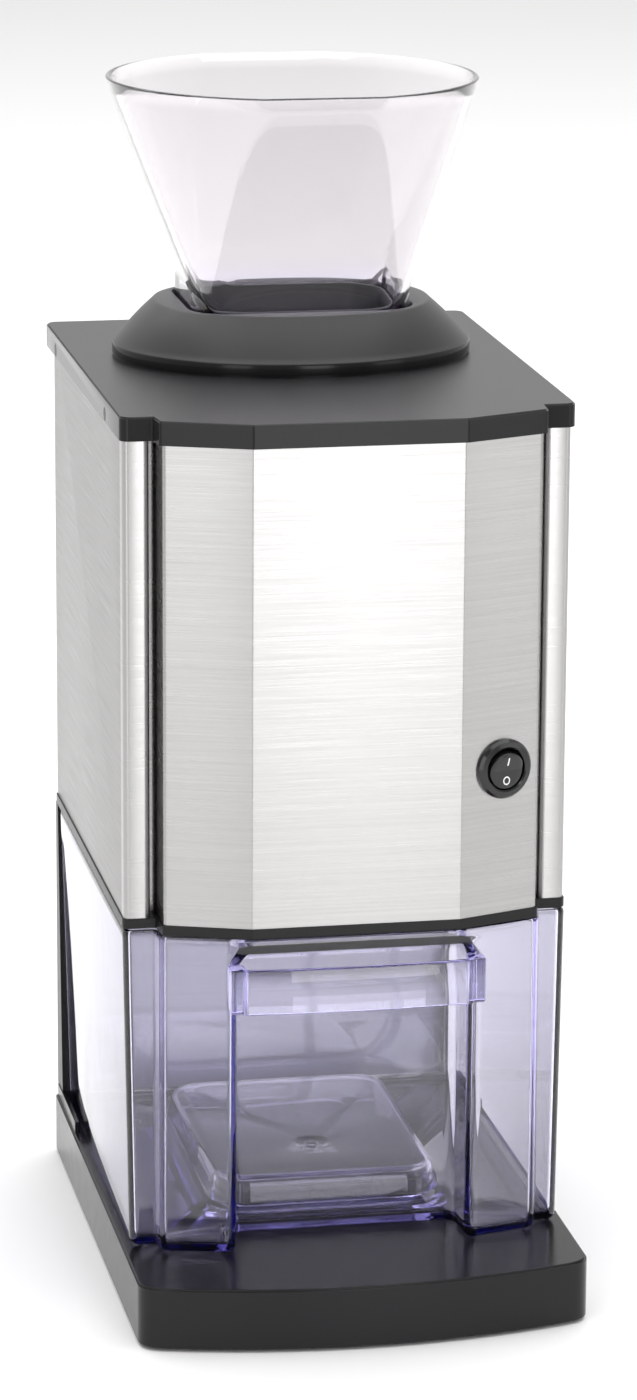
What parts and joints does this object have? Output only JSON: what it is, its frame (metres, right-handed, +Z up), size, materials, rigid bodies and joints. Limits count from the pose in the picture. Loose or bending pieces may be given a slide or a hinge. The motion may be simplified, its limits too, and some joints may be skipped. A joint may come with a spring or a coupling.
{
  "type": "electric ice crusher",
  "caption": "Upright electric ice crusher with a clear funnel on top, a brushed steel housing and a clear drawer that slides out of its foot.",
  "frame": {"origin": "middle of the whole machine at the level of the table it stands on", "axes": "+Z up, -Y towards the user, +X towards the side with the switch"},
  "size_m": [0.175, 0.2604, 0.4614],
  "materials": {
    "black_plastic": "satin moulded",
    "foot_rubber": "matt",
    "screw_steel": "zinc plated",
    "dark_screw": "black oxide",
    "brushed_steel": "brushed along the width",
    "hopper_clear": "clear moulded",
    "drawer_clear": "clear, tinted violet",
    "switch_black": "gloss",
    "switch_inner": "matt",
    "brass": "bright",
    "cast_alloy": "cast",
    "chute_plastic": "satin",
    "bronze": "sintered",
    "machined_steel": "machined",
    "gear_nylon": "satin",
    "zinc_sheet": "zinc plated sheet",
    "magnet": "sintered",
    "copper_iron": "varnished winding",
    "fan_plastic": "satin",
    "plunger_red": "satin"
  },
  "bodies": {
    "machine": {"base_plate": "black_plastic", "rubber_feet": "foot_rubber", "feet_screws": "screw_steel", "rear_column": "black_plastic", "back_panel": "brushed_steel", "back_screws": "screw_steel", "cord_gland": "black_plastic", "left_side_panel": "brushed_steel", "right_side_panel": "brushed_steel", "front_panel": "brushed_steel", "middle_trim": "black_plastic", "top_lid": "black_plastic", "lid_screws": "dark_screw", "hopper_collar": "black_plastic", "switch_bezel": "switch_black", "switch_body": "switch_inner", "switch_terminals": "brass", "crusher_housing": "cast_alloy", "ice_chute": "chute_plastic", "shaft_bushes": "bronze", "front_comb": "machined_steel", "rear_comb": "machined_steel", "gear_plate": "zinc_sheet", "gear_plate_screws": "screw_steel", "idler_pin": "machined_steel", "idler_clip": "machined_steel", "motor_can": "zinc_sheet", "motor_end_caps": "cast_alloy", "motor_magnets": "magnet", "motor_cradle": "zinc_sheet", "interlock_switch": "switch_inner", "terminal_block": "chute_plastic"},
    "drawer": {"ice_drawer": "drawer_clear", "drawer_handle": "drawer_clear"},
    "hopper": {"hopper": "hopper_clear"},
    "rocker": {"switch_rocker": "switch_black"},
    "crusher_shaft": {"blade_shaft": "machined_steel", "crusher_blades": "machined_steel", "blade_spacers": "machined_steel", "shaft_gear": "gear_nylon"},
    "idler": {"idler_gear": "gear_nylon"},
    "motor_rotor": {"motor_shaft": "machined_steel", "motor_armature": "copper_iron", "motor_pinion": "brass", "motor_fan": "fan_plastic"},
    "plunger": {"interlock_plunger": "plunger_red"}
  },
  "joints": [
    {"name": "drawer_slide", "type": "slide", "parent": "machine", "child": "drawer", "axis": [0, -1, 0], "range_m": [0, 0.19]},
    {"name": "hopper_lift", "type": "slide", "parent": "machine", "child": "hopper", "axis": [0, 0, 1], "range_m": [0, 0.06]},
    {"name": "rocker_tilt", "type": "hinge", "parent": "machine", "child": "rocker", "pos_m": [0.0576, -0.08568, 0.214], "axis": [-0.9451, -0.3268, 0], "range_deg": [0, 20]},
    {"name": "shaft_spin", "type": "hinge", "parent": "machine", "child": "crusher_shaft", "pos_m": [0, 0.049, 0.285], "axis": [1, 0, 0], "continuous": true},
    {"name": "idler_spin", "type": "hinge", "parent": "machine", "child": "idler", "pos_m": [0.06, -0.00123, 0.256], "axis": [1, 0, 0], "continuous": true},
    {"name": "motor_spin", "type": "hinge", "parent": "machine", "child": "motor_rotor", "pos_m": [0, -0.0263, 0.22612], "axis": [1, 0, 0], "continuous": true},
    {"name": "interlock_drop", "type": "slide", "parent": "machine", "child": "plunger", "axis": [0, 0, -1], "range_m": [0, 0.002]}
  ],
  "couplings": [
    {"joint": "idler_spin", "follows": "shaft_spin", "ratio": -3.1429},
    {"joint": "motor_spin", "follows": "shaft_spin", "ratio": 10.476},
    {"joint": "interlock_drop", "follows": "drawer_slide", "ratio": 0.01}
  ]
}
